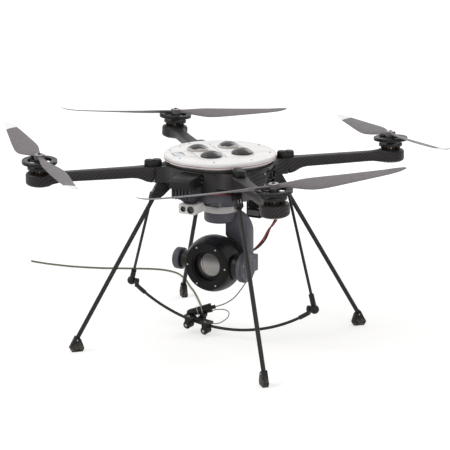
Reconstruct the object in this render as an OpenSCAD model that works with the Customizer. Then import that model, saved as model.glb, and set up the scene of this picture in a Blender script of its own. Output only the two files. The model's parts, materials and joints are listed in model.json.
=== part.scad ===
// Folding quadcopter with a gimballed camera ball, tall legs and a swinging tether bow.
// Millimetres, +Z up, the nose faces -Y, the origin is on the ground below the hub axis.

/* [Airframe] */
// Distance from the hub axis to each motor axis
motor_r = 392; // [389:1:394]
// Radius at which each arm parts from the hub
split_r = 148; // [147:0.5:149]
// Height of the flat arm tops above the ground
arm_top = 400; // [398:1:402]
// Width of an arm at its root
arm_root_w = 36; // [34:1:36]
// Width of an arm along its beam
arm_beam_w = 25; // [22:1:28]
// Depth of an arm at its root
arm_root_h = 34; // [34:1:36]
// Depth of an arm next to the motor
arm_tip_h = 21; // [19:1:23]
// Sideways lean of each rotor in degrees
rotor_cant = 3; // [0:0.5:4]

/* [Rotors] */
// Propeller radius
prop_r = 270; // [250:1:272]
// Motor pod diameter
pod_d = 60; // [58:1:62]
// Diameter of the spoked disc over each motor
disc_d = 73; // [70:1:76]
// Motor bell diameter
bell_d = 52; // [48:1:54]

/* [Hub] */
// Radius of the hub body between the arms
hub_r = 117; // [115:1:118]
// Underside of the hub body
hub_bottom = 352; // [350:1:354]
// Radius of the round top cover
cover_r = 121; // [119:1:122]
// Underside of the top cover
cover_z = 406; // [405:1:408]
// Height of the top cover
cover_h = 15; // [14:1:16]
// Diameter of the antenna domes
dome_d = 46; // [42:0.5:48]
// Distance of the antenna domes from the hub axis
dome_r = 51; // [48:1:54]

/* [Landing gear] */
// Leg tube diameter
leg_d = 9.6; // [9:0.2:10]
// Radius of the foot centres
foot_r = 339; // [334:1:342]
// Radius of the tether bow, about a centre near the hub
bow_r = 378; // [374:1:380]
// Half the distance between the bow's two pivots
bow_half_span = 230; // [228:1:232]
// Tether bow tube diameter
bow_d = 6.4; // [6:0.2:7]
// Place of the trolley along the bow, in degrees from the middle
trolley_at = 8.8; // [6:0.2:10]

/* [Camera] */
// Radius of the camera ball
ball_r = 62.5; // [61:0.5:63]
// How far the ball sits ahead of the yaw axis
ball_ahead = 28; // [26:1:30]
// Height of the ball's centre above the ground
ball_z = 179; // [177:1:181]
// Clear diameter of the camera lens
lens_d = 55; // [50:1:58]

/* [Hidden] */
$fn = 48;

// Colours
CARBON = "#2c2a2a";
BLACK = "#181717";
SLATE = "#55545d";
PALE = "#d6d4d1";
GREY = "#85838a";
RED = "#a04a44";
METAL = "#b9b4ac";

// Clearances: a running fit, a fixed fit and the gap between bodies that pass each other
run_gap = 0.05;
fix_gap = 0.02;
free_gap = 0.4;
// Overlap that makes a cut pass right through a face
eps = 1;

// The four arms: front left, front right, rear left, rear right
ARM_AZ = [315, 225, 45, 135];
// Sense of each rotor, +1 turns anticlockwise seen from above; its lean goes with it
ROTOR_HAND = [1, -1, -1, 1];
// Resting blade direction from the arm's own direction
BLADE_TURN = [89, 94, 94, 89];

// Motor stack heights, along the leaning motor axis
pod_bottom = 376;
pod_top = 402;
pod_mid = (pod_bottom + pod_top) / 2;
stator_h = 7;
bell_bottom = pod_top + stator_h + free_gap;
bell_top = 417;
disc_bottom = 421.5;
disc_top = 428.5;
prop_bottom = 431;
prop_boss_h = 9;
shaft_r = 3;

// Arm hinge at the foot of the split: ears on the hub, one lug on the arm, each turning in a pocket
hinge_z = arm_top - arm_root_h + 4;
hinge_r = split_r + 0.2;
hinge_pin_r = 2;
ear_r = 4;
ear_pocket_r = 5.2;
ear_block = 9;
ear_in = 8;
ear_out = 14;

// Latch
latch_l = 38;
latch_w = 25;
latch_h = 11;
latch_key_w = 8;
latch_key_h = 4;
latch_travel = 6;
latch_slot_l = latch_l / 2 + 2;

// Hub shell
cavity_r = 92;
hub_floor = 6;
stub_blend_r = 40;
cover_wall = 5;
cover_neck_r = 110;
seal_z = cover_z + 5;
seal_h = 1.2;
seal_d = 3;
cover_top = cover_z + cover_h;
groove_w = 1.2;
groove_d = 0.6;
panel_half = 59;
hatch_half = 27;
window_l = 34;
window_w = 26;
window_r = 92;
window_d = 1;
screw_r = 2.2;
bay_corner = [100, -6, 358];
bay_size = [30, 62, 34];
loom_r = 9;
loom_cord_r = 2.2;
dome_turn = 8;
dome_base = 3.5;
dome_rise = 9;
dome_ball = (pow(dome_d / 2, 2) + dome_rise * dome_rise) / (2 * dome_rise);

// Front module: a capped box whose lower part has fins between straight gaps
module_front = -174;
module_half = 24;
module_low = 376;
module_top = 397.5;
module_foot = 335;
fin_front = -168;
fin_half = 22;
fin_low = 350.5;
fin_h = 21.5;
fin_d = 6;
fin_gap = 3.6;
fin_pitch = 8;

// Power module under the hull, with its neck and the gland of its lead
power_corner = [26, 72, 263];
power_size = [34, 28, 38];
power_gland_l = 6;
power_gland_r = 5.6;
power_neck = [22, 20];

// Rangefinder: its front face, centre height and the place and radius of each of its two eyes
range_front = -142;
range_z = 324;
range_eyes = [[-9.5, 5.8], [8.5, 7.8]];
eye_depth = 8;

// Lower hull
hull_r = 106;
hull_z = 333;
hull_top = hub_bottom - 1;
hull_foot = 314;
hull_foot_r = 58;
lobe_z = 319;

// Legs
leg_top = [135.3, hub_bottom];
leg_lean = atan((foot_r - leg_top[0]) / leg_top[1]);
leg_end_z = 14;
leg_l = (leg_top[1] - leg_end_z) / cos(leg_lean);
bracket_t = 15;
foot_t = 12.6;
// Side of a foot, measured from the point where the leg's line meets the ground
foot_side = [[-12.6, 34.2], [1.2, 8.5], [-4, 0], [-27, 0], [-31, 7.5], [-24.6, 27.2]];

// Tether bow: the arc's centre is straight above the pivots
bow_centre_z = 400;
knuckle_z = bow_centre_z - sqrt(bow_r * bow_r - bow_half_span * bow_half_span);
knuckle_r = 10;
bow_pin_r = 3;
bow_pin_l = 17.5;
bow_eye_out = bow_half_span - knuckle_r - 0.6;
bow_eye_w = 6;
bow_eye_r = 6.5;
bow_sleeve_x = 195;
bow_sleeve_r = 4.8;
socket_l = 34;
socket_r = 5.8;
strut_d = 6.4;
strut_top = [148, -11.5, 337];
strut_clip_l = 16;

// Trolley
block_angle = 3.3;
roller_r = 8;
roller_flange_r = 9;
roller_half_w = 9.4;
roller_axle_r = 2;
roller_drop = bow_d / 2 + 0.3 + roller_r;
plate_low = 3.9;
plate_h = 4.5;
clamp_a = [-86, 13, 41];
clamp_b = [-45, 40, 52];

// Gimbal
plate_z = 291.5;
plate_top = 306;
yaw_r = 35;
yaw_low = 268;
yaw_high = plate_z - 0.5;
yaw_shaft_r = 7;
yoke_back = 34;
yoke_front = 6;
yoke_out = 64;
yoke_bend = 46;
yoke_in = 10;
yoke_low = ball_z - 26;
yoke_top = yaw_high - 1;
// Front and back radius of the dish in the yoke, which clears the ball
yoke_dish = [ball_r - 3, ball_r - 36.5];
yoke_lug_z = ball_z - 18;
housing_in = 71;
housing_out = 86;
housing_r = 33;
tilt_shaft_r = 6;
ball_cut = 31;
bezel_t = 4;
bezel_r = 52;
bore_r = 34.5;
bore_end = 22;
bezel_screw_at = 46;
lens_seat = 15;
lens_t = 13;
lens_curve = 68;
ball_neck_r = 29;
cap_neck_r = 20;
cap_in = 78;
cap_l = 16;
cap_r = 24;

// Cord sizes and routes. Each route starts where the cord leaves a piece
power_lead_d = 8.4;
power_lead_route = [
    [66.5, 88, 282], [73, 88, 282], [81, 91.5, 278.5], [84, 101, 269], [79, 111, 256], [69, 117.5, 242],
    [57, 121, 227], [44, 122, 202], [26, 122, 181], [6, 122, 168], [-14, 122, 173], [-27, 121, 195],
    [-33, 117, 230], [-34, 110, 270], [-32.5, 102, 302], [-32, 97, 317], [-32, 96, 325],
    [-32, 96, 332.6]
];
tether_lead_d = 2.6;
tether_lead_route = [
    [-37.4, 45, 54.04], [-30.8, 49.3, 55.9], [-19, 57, 61], [-5, 70, 72], [4, 90, 90], [10, 108, 110],
    [10, 123, 135], [2, 132, 166], [-12, 136, 202], [-20, 132, 242], [-18, 120, 282], [-8, 105, 318],
    [-5, 100, 333]
];
trolley_loop_d = 2.2;
trolley_loop_route = [
    [-43.5, 41, 44.75], [-37, 45.2, 46.5], [-27, 48, 48], [-14, 48, 48.5], [-3, 43, 45.5], [0, 33, 38],
    [-5, 19, 31.5], [-11, 8, 29], [-18, 3, 28.6], [-23.3, 3, 28.55]
];
tether_d = 4.6;
tether_route = [
    [-70, 33, 47], [-76, 44, 47.5], [-84, 58, 44], [-97, 82, 34], [-113, 112, 19], [-132, 146, 7],
    [-154, 180, 2.5], [-214, 257, 2.5], [-251, 298, 2.5], [-294, 347, 2.5], [-335, 381, 2.5],
    [-372, 391, 2.5], [-405, 387, 2.5], [-440, 373, 2.5], [-486, 351, 2.5], [-531, 330, 2.5],
    [-599, 309, 2.5], [-654, 301, 2.5], [-687, 299, 2.5], [-720, 300, 2.5]
];

// Blade stations: radius share, leading edge, trailing edge, pitch, thickness, lift
BLADE = [
    [0.03, 7, -7, 20, 7, 0], [0.09, 8, -8, 21, 6.5, 0], [0.17, 12, -18, 20, 5.5, 0],
    [0.26, 16, -29, 17, 4.6, 0], [0.36, 17, -31, 15, 4, 0], [0.52, 16, -27, 12.5, 3.4, 0.5],
    [0.70, 14, -21, 11, 2.8, 1.5], [0.86, 11, -16, 9.5, 2.3, 3], [0.95, 7, -14, 8, 2, 5.5],
    [1.00, -4, -12, 6, 1.4, 9]
];
blade_sides = 12;

// Shared shapes and functions

function unit(v) = v / norm(v);

// Point at share t of the smooth curve through points p, between points i and i + 1
function smooth_at(p, i, t) =
    let (a = p[max(i - 1, 0)], b = p[i], c = p[i + 1], d = p[min(i + 2, len(p) - 1)])
    0.5 * (2 * b + (c - a) * t + (2 * a - 5 * b + 4 * c - d) * t * t + (3 * b - a - 3 * c + d) * t * t * t);

function smooth(p, steps) = concat(
    [for (i = [0 : len(p) - 2], s = [0 : steps - 1]) smooth_at(p, i, s / steps)],
    [p[len(p) - 1]]
);

function tangent(p, i) = unit(p[min(i + 1, len(p) - 1)] - p[max(i - 1, 0)]);

// Closed solid through rings of equal length, each ring anticlockwise about the way ahead
module skin(rings) {
    n = len(rings[0]);
    m = len(rings);
    polyhedron(
        points = [for (ring = rings) each ring],
        faces = concat(
            [[for (i = [0 : n - 1]) i]],
            [for (j = [0 : m - 2], i = [0 : n - 1])
                [j * n + i, (j + 1) * n + i, (j + 1) * n + (i + 1) % n]],
            [for (j = [0 : m - 2], i = [0 : n - 1])
                [j * n + i, (j + 1) * n + (i + 1) % n, j * n + (i + 1) % n]],
            [[for (i = [n - 1 : -1 : 0]) (m - 1) * n + i]]
        )
    );
}

// Round cord swept along a route; side is a direction that the route never takes
module cord(route, d, steps, side) {
    path = smooth(route, steps);
    skin([for (i = [0 : len(path) - 1])
        let (t = tangent(path, i), u = unit(cross(t, side)), w = cross(t, u))
        [for (k = [0 : 7]) path[i] + d / 2 * (cos(45 * k) * u + sin(45 * k) * w)]]);
}

// Cylinder from point a to point b
module rod(a, b, r) {
    v = b - a;
    translate(a)
        rotate([0, acos(v[2] / norm(v)), atan2(v[1], v[0])])
            cylinder(h = norm(v), r = r);
}

// Ring of a beam at radius x: half width hw, from zb to zt, with rounded corners
function beam_ring(x, hw, zb, zt, corner) = [
    for (c = [[1, 1, 0], [-1, 1, 90], [-1, -1, 180], [1, -1, 270]], k = [0 : 3])
        [x, c[0] * (hw - corner) + corner * cos(c[2] + 30 * k),
         (c[1] > 0 ? zt - corner : zb + corner) + corner * sin(c[2] + 30 * k)]
];

module along_arm(i) rotate([0, 0, ARM_AZ[i]]) children();

// Frame of a motor: its leaning axis is the local Z axis, heights stay above ground
module at_motor(i)
    along_arm(i)
        translate([motor_r, 0, pod_mid])
            rotate([ROTOR_HAND[i] * rotor_cant, 0, 0])
                translate([0, 0, -pod_mid])
                    children();

// Frame of a place on the bow: local origin on the tube's centre line
module on_bow(a)
    translate([0, 0, bow_centre_z])
        rotate([0, a, 0])
            translate([0, 0, -bow_r])
                children();

// Frame of the camera's tilt axis: local Z runs along +X
module on_tilt() translate([0, -ball_ahead, ball_z]) rotate([0, 90, 0]) children();

// Frame of the lens: local Z points forwards from the ball's centre
module on_lens() translate([0, -ball_ahead, ball_z]) rotate([90, 0, 0]) children();

// Hub pieces

// Plan of the hub body with its four arm roots
module hub_plan() {
    stub = arm_root_w / 2;
    tangent_x = sqrt(pow(hub_r + stub_blend_r, 2) - pow(stub + stub_blend_r, 2));
    circle(r = hub_r);
    for (i = [0 : 3])
        rotate(ARM_AZ[i]) {
            translate([0, -stub]) square([split_r, 2 * stub]);
            for (s = [0, 1])
                mirror([0, s])
                    difference() {
                        polygon([[0, 0], [tangent_x, 0], [tangent_x, stub + stub_blend_r]]);
                        translate([tangent_x, stub + stub_blend_r]) circle(r = stub_blend_r);
                    }
        }
}

module chassis() color(CARBON)
    difference() {
        union() {
            difference() {
                union() {
                    translate([0, 0, arm_top - arm_root_h]) linear_extrude(arm_root_h) hub_plan();
                    translate([0, 0, hub_bottom]) cylinder(h = arm_top - hub_bottom, r = hub_r);
                }
                for (i = [0 : 3])
                    along_arm(i) on_hinge() cylinder(h = 2 * ear_in, r = ear_pocket_r, center = true);
            }
            for (i = [0 : 3], s = [-1, 1])
                along_arm(i) on_hinge()
                    translate([0, 0, s * (ear_in + ear_out) / 2]) hinge_eye(-1, ear_out - ear_in);
        }
        for (i = [0 : 3]) along_arm(i) {
            on_hinge() cylinder(h = 2 * ear_out, r = hinge_pin_r + fix_gap, center = true);
            translate([split_r - latch_l / 2 - latch_travel, 0, arm_top - latch_key_h])
                translate([0, -(latch_key_w + free_gap) / 2, 0])
                    cube([latch_slot_l, latch_key_w + free_gap, latch_key_h + eps]);
        }
        translate([0, 0, hub_bottom + hub_floor]) cylinder(h = arm_top, r = cavity_r);
        side_bay();
    }

// Frame of an arm's hinge: local Z runs across the arm, local X outwards
module on_hinge() translate([hinge_r, 0, hinge_z]) rotate([90, 0, 0]) children();

// Hinge eye with its root, pointing inwards (way = -1) or outwards (way = 1)
module hinge_eye(way, w) {
    cylinder(h = w, r = ear_r, center = true);
    translate([way * ear_block / 2, 0, 0]) cube([ear_block, 2 * ear_r, w], center = true);
}

// Recess in the hub's side, between the front left and rear left arms
module side_bay() translate(bay_corner) cube(bay_size);

module top_cover() color(PALE)
    difference() {
        rotate_extrude($fn = 96)
            difference() {
                union() {
                    polygon([[0, cover_z], [cover_r - 4, cover_z], [cover_r, cover_z + 3],
                             [cover_r, cover_top - 4], [cover_r - 1.2, cover_top - 1.6],
                             [cover_r - 4, cover_top], [0, cover_top]]);
                    translate([0, arm_top]) square([cover_neck_r, cover_z - arm_top + eps]);
                }
                translate([-eps, arm_top - eps])
                    square([cover_neck_r - 4 + eps, cover_top - cover_wall - arm_top + eps]);
                translate([cover_r - seal_d, seal_z]) square([seal_d + eps, seal_h]);
            }
        panel_grooves();
        window_place() cube([window_w, window_l, window_d + eps]);
    }

// Lines between the cover's panels: a turned square, its two diagonals and two hatches at its sides
module panel_grooves()
    translate([0, 0, cover_top - groove_d])
        rotate([0, 0, 45]) {
            for (a = [0 : 90 : 270])
                rotate([0, 0, a])
                    translate([panel_half - groove_w / 2, -panel_half, 0])
                        cube([groove_w, 2 * panel_half, eps]);
            for (a = [0, 90])
                rotate([0, 0, a])
                    translate([-panel_half, -groove_w / 2, 0]) cube([2 * panel_half, groove_w, eps]);
            for (a = [0, 180], s = [-1, 1])
                rotate([0, 0, a])
                    translate([panel_half, s * hatch_half - groove_w / 2, 0]) cube([cover_r, groove_w, eps]);
        }

module window_place()
    rotate([0, 0, 225])
        translate([window_r - window_w / 2, -window_l / 2, cover_top - window_d])
            children();

module cover_seal() color(RED)
    translate([0, 0, seal_z])
        rotate_extrude($fn = 96) translate([cover_r - seal_d, 0]) square([seal_d + 0.3, seal_h]);

module display_window() color("#9fb2bd")
    window_place() cube([window_w, window_l, 0.7]);

module antenna_domes() color(BLACK)
    for (a = [dome_turn : 90 : 359])
        rotate([0, 0, a])
            translate([dome_r, 0, cover_top]) {
                cylinder(h = dome_base, r = dome_d / 2);
                rotate_extrude()
                    intersection() {
                        translate([0, dome_base + dome_rise - dome_ball]) circle(r = dome_ball, $fn = 96);
                        translate([0, dome_base - 0.5]) square([dome_d / 2, 2 * dome_rise]);
                    }
            }

module lower_hull() color(SLATE)
    difference() {
        union() {
            translate([0, 0, hull_z])
                rotate([0, 0, 15]) cylinder(h = hull_top - hull_z, r = hull_r, $fn = 12);
            translate([0, 0, hull_foot]) cylinder(h = hull_z - hull_foot, r = hull_foot_r);
            for (i = [0 : 3]) along_arm(i) hull_lobe();
        }
        translate([0, 0, hull_z + 4]) cylinder(h = hull_top, r = cavity_r);
        for (a = [0 : 90 : 270])
            rotate([0, 0, a]) translate([hull_foot_r - 11, -9, hull_foot - eps]) cube([20, 18, 8 + eps]);
    }

// Faceted lobe under an arm root
module hull_lobe()
    rotate([90, 0, 0])
        linear_extrude(46, center = true)
            polygon([[40, hull_z + 2], [99, hull_z + 2], [97, 328], [86, lobe_z], [40, lobe_z]]);

module hull_seal() color(RED)
    translate([0, 0, hull_top])
        difference() {
            rotate([0, 0, 15]) cylinder(h = hub_bottom - hull_top, r = hull_r + 1.5, $fn = 12);
            translate([0, 0, -eps]) cylinder(h = 4, r = cavity_r);
        }

module flight_board() color("#2f5a3c") {
    board = 104;
    board_low = 394;
    board_top = board_low + 1.6;
    post = board / 2 - 6;
    translate([-board / 2, -board / 2, board_low]) cube([board, board, board_top - board_low]);
    for (x = [-1, 1], y = [-1, 1])
        translate([x * post, y * post, board_top])
            cylinder(h = cover_top - cover_wall - board_top, r = 3);
}

module battery_pack() color("#3c4650")
    translate([-62, -46, hub_bottom + hub_floor]) cube([124, 92, 30]);

module front_module() color(BLACK)
    difference() {
        union() {
            translate([-module_half, 0, 0])
                rotate([90, 0, 90])
                    linear_extrude(2 * module_half)
                        polygon([[-100, module_low], [module_front, module_low],
                                 [module_front, module_low + 13], [module_front + 6, module_top - 3.5],
                                 [-127, module_top], [-100, module_top]]);
            translate([-fin_half, fin_front, fin_low]) cube([2 * fin_half, 68, module_low - fin_low + eps]);
            translate([-11, -136, module_foot]) cube([22, 24, fin_low - module_foot + eps]);
        }
        translate([0, 0, module_foot]) cylinder(h = 2 * arm_root_h, r = hub_r + fix_gap, $fn = 96);
        for (k = [-2 : 2])
            translate([fin_pitch * k - fin_gap / 2, fin_front - eps, fin_low - eps])
                cube([fin_gap, fin_d + eps, fin_h + eps]);
        for (s = [-1, 1], k = [1 : 5])
            translate([s * fin_half - fin_d / 2, fin_front + fin_pitch * k - fin_gap / 2, fin_low - eps])
                cube([fin_d, fin_gap, fin_h + eps]);
    }

module power_module() color(BLACK) {
    neck_z = power_corner[2] + power_size[2];
    translate(power_corner) cube(power_size);
    difference() {
        translate([power_corner[0] + 6, power_corner[1] + 4, neck_z - eps])
            cube([power_neck[0], power_neck[1], hull_z - neck_z + eps]);
        along_arm(2) hull_lobe();
    }
    translate(power_lead_route[0] - [0.5, 0, 0])
        rotate([0, -90, 0]) cylinder(h = power_gland_l + eps, r = power_gland_r);
}

// Bundle of leads looped inside the side bay, behind a small terminal block
module cable_loom() color(BLACK) {
    step = 11;
    for (k = [0 : 3])
        translate(bay_corner + [5 + 4.5 * (k % 2), 14 + step * k, bay_size[2] / 2 + 1])
            rotate([90, 0, 80])
                rotate_extrude(angle = 300) translate([loom_r, 0]) circle(r = loom_cord_r);
    translate(bay_corner + [1, 1, 1]) cube([14, 5, bay_size[2] - 2]);
}

module rangefinder_housing() color(PALE)
    difference() {
        translate([0, range_front, range_z + 0.5]) rotate([-90, 0, 0])
            linear_extrude(35) {
                square([41, 15], center = true);
                square([35, 21], center = true);
                for (x = [-1, 1], y = [-1, 1]) translate([x * 17.5, y * 7.5]) circle(r = 3);
            }
        for (e = range_eyes)
            translate([e[0], range_front - eps, range_z])
                rotate([-90, 0, 0]) cylinder(h = eye_depth + eps, r = e[1]);
    }

// Each eye: a glass at the bottom of a thin barrel
module rangefinder_lenses() color("#10131a")
    for (e = range_eyes)
        translate([e[0], range_front + eye_depth, range_z]) rotate([90, 0, 0]) {
            cylinder(h = 5, r = e[1] - fix_gap);
            difference() {
                cylinder(h = eye_depth + 0.8, r = e[1] - fix_gap);
                cylinder(h = 2 * eye_depth, r = e[1] - 1.2);
            }
        }

// Landing gear and bow carriers

module leg_axis() translate([leg_top[0], 0, leg_top[1]]) rotate([0, 180 - leg_lean, 0]) children();

module leg_brackets() color(BLACK)
    for (i = [0 : 3])
        along_arm(i)
            difference() {
                union() {
                    rotate([90, 0, 0])
                        linear_extrude(bracket_t, center = true)
                            polygon([[hub_r + 2, arm_top - arm_root_h], [137, arm_top - arm_root_h],
                                     [142.5, 356.5], [155, 335.5], [139.5, 326.5], [128, 334],
                                     [108, hub_bottom], [hub_r + 2, hub_bottom]]);
                    if (i == 1 || i == 2) strut_axis() cylinder(h = strut_clip_l, r = strut_d / 2 + 2.4);
                }
                leg_axis() cylinder(h = leg_l, r = leg_d / 2 + fix_gap);
                if (i == 1 || i == 2)
                    strut_axis()
                        translate([0, 0, -eps]) cylinder(h = 4 * strut_clip_l, r = strut_d / 2 + fix_gap);
            }

module legs() color(CARBON)
    for (i = [0 : 3])
        along_arm(i)
            leg_axis() cylinder(h = leg_l, r = leg_d / 2);

module feet() color(BLACK)
    for (i = [0 : 3])
        along_arm(i)
            difference() {
                rotate([90, 0, 0])
                    linear_extrude(foot_t, center = true)
                        translate([foot_r, 0]) polygon(foot_side);
                leg_axis() cylinder(h = leg_l + free_gap / 2, r = leg_d / 2 + fix_gap);
            }

// Frame of a bow strut in its arm's own frame: it starts at its clip and points at its knuckle
strut_end = [bow_half_span * cos(45), -bow_half_span * sin(45), knuckle_z];
strut_way = strut_end - strut_top;
module strut_axis()
    translate(strut_top)
        rotate([0, acos(strut_way[2] / norm(strut_way)), atan2(strut_way[1], strut_way[0])])
            children();

module bow_struts() color(CARBON)
    for (i = [1, 2])
        along_arm(i)
            strut_axis() cylinder(h = norm(strut_way) - knuckle_r - 4, r = strut_d / 2);

// End fitting of each strut: a ball with a socket for the tube and a pin for the bow's eye
module strut_knuckles() color(BLACK)
    for (i = [1, 2])
        along_arm(i)
            difference() {
                union() {
                    translate(strut_end) sphere(r = knuckle_r);
                    strut_axis()
                        translate([0, 0, norm(strut_way) - socket_l])
                            cylinder(h = socket_l - 6, r = socket_r);
                    translate(strut_end) rotate([0, -90, -45]) cylinder(h = bow_pin_l, r = bow_pin_r);
                }
                strut_axis()
                    translate([0, 0, norm(strut_way) - 2 * socket_l])
                        cylinder(h = 2 * socket_l - knuckle_r - 3.9, r = strut_d / 2 + fix_gap);
            }

module frame_screws() color(METAL) {
    for (a = [22.5 : 45 : 360])
        rotate([0, 0, a]) translate([108, 0, cover_top]) cylinder(h = 0.9, r = screw_r);
    for (s = [-1, 1], e = [[-121, 390], [-121, 381]])
        translate([s * 24, e[0], e[1]]) rotate([0, s * 90, 0]) cylinder(h = 1.2, r = screw_r);
}

module hinge_pins() color(METAL)
    for (i = [0 : 3])
        along_arm(i) on_hinge() cylinder(h = 2 * ear_out, r = hinge_pin_r, center = true);

// Arms, motors and latches

module arm(i) color(CARBON) {
    w0 = arm_root_w / 2;
    w1 = arm_beam_w / 2;
    z0 = arm_top - arm_root_h;
    z1 = arm_top - arm_tip_h;
    lug_w = 2 * (ear_in - free_gap);
    along_arm(i)
        difference() {
            union() {
                difference() {
                    skin([for (e = [[split_r + free_gap, w0, z0], [split_r + 9, w0 - 0.3, z0 + 0.4],
                                    [split_r + 18, w0 - 1.4, z0 + 2.6], [split_r + 27, w1 + 2.4, z0 + 7],
                                    [split_r + 36, w1 + 1, z0 + 10], [split_r + 48, w1 + 0.3, z0 + 11.4],
                                    [split_r + 110, w1, z0 + 12], [motor_r - 62, w1 - 0.5, z1],
                                    [motor_r - 44, w1, z1], [motor_r - 32, w1 + 4, z1 - 1.4],
                                    [motor_r - 20, w1 + 8, z1 - 2.4]])
                        beam_ring(e[0], e[1], e[2], arm_top, 4.5)]);
                    for (s = [-1, 1])
                        on_hinge() translate([0, 0, s * (lug_w / 2 + arm_root_w)])
                            cylinder(h = 2 * arm_root_w, r = ear_pocket_r, center = true);
                }
                on_hinge() hinge_eye(1, lug_w);
            }
            on_hinge() cylinder(h = 2 * ear_out, r = hinge_pin_r + run_gap, center = true);
            at_pod_seat(i) cylinder(h = pod_d, r = pod_d / 2 - 8, center = true);
        }
    at_motor(i)
        rotate_extrude() {
            edge = 6;
            difference() {
                union() {
                    translate([0, pod_bottom]) square([pod_d / 2 - edge, pod_top - pod_bottom]);
                    translate([0, pod_bottom + edge]) square([pod_d / 2, pod_top - pod_bottom - 2 * edge]);
                    for (z = [pod_bottom + edge, pod_top - edge])
                        translate([pod_d / 2 - edge, z]) circle(r = edge);
                }
                translate([-pod_d, pod_bottom - eps]) square([pod_d, pod_d]);
            }
        }
}

// Clears the beam's end out of the pod so that the two join once
module at_pod_seat(i)
    translate([motor_r, 0, pod_mid])
        rotate([ROTOR_HAND[i] * rotor_cant, 0, 0])
            children();

module stator(i) color(METAL)
    at_motor(i) {
        translate([0, 0, pod_top]) cylinder(h = stator_h, r = 15);
        translate([0, 0, pod_top + stator_h]) cylinder(h = bell_top - pod_top - stator_h - 1, r = shaft_r);
    }

module latch(i) color(BLACK)
    along_arm(i)
        translate([split_r, 0, 0]) {
            half = latch_l / 2 - latch_w / 2;
            translate([0, 0, arm_top + free_gap])
                linear_extrude(latch_h - free_gap) {
                    square([2 * half, latch_w], center = true);
                    for (s = [-1, 1]) translate([s * half, 0]) circle(d = latch_w);
                }
            for (s = [-1, 1])
                translate([s * (half + 1.5), 0, arm_top + latch_h]) cylinder(h = 2.5, r = latch_w / 2 - 3);
            translate([-latch_l / 2 + 1, -latch_key_w / 2, arm_top - latch_key_h + free_gap])
                cube([latch_l / 2 - 6, latch_key_w, latch_key_h + eps]);
        }

module bell(i) color(BLACK)
    at_motor(i)
        difference() {
            union() {
                translate([0, 0, bell_bottom])
                    rotate_extrude()
                        polygon([[0, 0], [bell_d / 2, 0], [bell_d / 2, 5.5], [17, bell_top - bell_bottom],
                                 [0, bell_top - bell_bottom]]);
                translate([0, 0, disc_bottom])
                    rotate_extrude()
                        translate([disc_d / 2 - 11, 0]) square([11, disc_top - disc_bottom]);
                for (a = [0 : 90 : 270])
                    rotate([0, 0, a + 45]) translate([0, -3, disc_bottom]) cube([disc_d / 2 - 5, 6, 4]);
                translate([0, 0, bell_top - eps]) cylinder(h = prop_bottom - bell_top + eps, r = 10);
            }
            translate([0, 0, bell_bottom - eps])
                cylinder(h = bell_top - bell_bottom + eps, r = shaft_r + run_gap);
        }

function blade_ring(s, hand) =
    let (r = s[0] * prop_r, mid = (s[1] + s[2]) / 2, half = (s[1] - s[2]) / 2)
    [for (k = [0 : blade_sides - 1])
        let (a = hand * 360 * k / blade_sides, y = mid + half * cos(a), z = s[4] / 2 * sin(a))
        [r, hand * (y * cos(s[3]) - z * sin(s[3])), y * sin(s[3]) + z * cos(s[3]) + s[5]]];

module prop(i) color(GREY)
    at_motor(i) {
        mid_z = prop_bottom + prop_boss_h / 2 - 1;
        translate([0, 0, prop_bottom]) cylinder(h = prop_boss_h, r = 11);
        for (turn = [0, 180])
            rotate([0, 0, BLADE_TURN[i] + turn])
                translate([0, 0, mid_z])
                    skin([for (s = smooth(BLADE, 2)) blade_ring(s, ROTOR_HAND[i])]);
    }

// Gimbal and camera

module gimbal_plate() color(PALE)
    translate([0, 0, plate_z])
        difference() {
            union() {
                cylinder(h = 8, r = 36);
                translate([0, 0, 4])
                    rotate([0, 0, 22.5]) cylinder(h = plate_top - plate_z - 4, r = 40, $fn = 8);
                translate([0, 0, 10]) cylinder(h = hull_foot - plate_z - 10, r = 14);
            }
            translate([0, 0, -eps]) cylinder(h = 14, r = yaw_shaft_r + run_gap);
        }

module vibration_dampers() color(BLACK)
    for (a = [45 : 90 : 315])
        rotate([0, 0, a])
            translate([30, 0, plate_top])
                rotate_extrude()
                    polygon([[0, 0], [6.5, 0], [6.5, 2], [4.5, 4], [6.5, 6], [6.5, hull_foot - plate_top],
                             [0, hull_foot - plate_top]]);

module gimbal_yoke() color(SLATE) {
    rotate_extrude() {
        edge = 6;
        translate([0, yaw_low]) square([yaw_r - edge, yaw_high - yaw_low]);
        translate([0, yaw_low + edge]) square([yaw_r, yaw_high - yaw_low - edge]);
        intersection() {
            translate([yaw_r - edge, yaw_low + edge]) circle(r = edge);
            square(500);
        }
    }
    translate([0, 0, yaw_high - eps]) cylinder(h = 13, r = yaw_shaft_r);
    difference() {
        translate([0, yoke_back, 0])
            rotate([90, 0, 0])
                linear_extrude(yoke_back - yoke_front)
                    difference() {
                        union() {
                            translate([yoke_out - yoke_bend, yoke_top - yoke_bend])
                                circle(r = yoke_bend, $fn = 96);
                            translate([0, yoke_low]) square([yoke_out, yoke_top - yoke_bend - yoke_low]);
                            translate([0, yoke_top - yoke_bend]) square([yoke_out - yoke_bend, yoke_bend]);
                        }
                        translate([-yoke_out, 0]) square([yoke_out + yoke_in, yaw_low + 2]);
                    }
        translate([0, yoke_front - eps, ball_z])
            rotate([-90, 0, 0])
                cylinder(h = yoke_back - yoke_front + 2 * eps, r1 = yoke_dish[0], r2 = yoke_dish[1],
                         $fn = 96);
    }
    translate([yoke_out - 8, yoke_front - 2, yoke_lug_z]) cube([housing_in - yoke_out + 8, 21, 36]);
}

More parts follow.
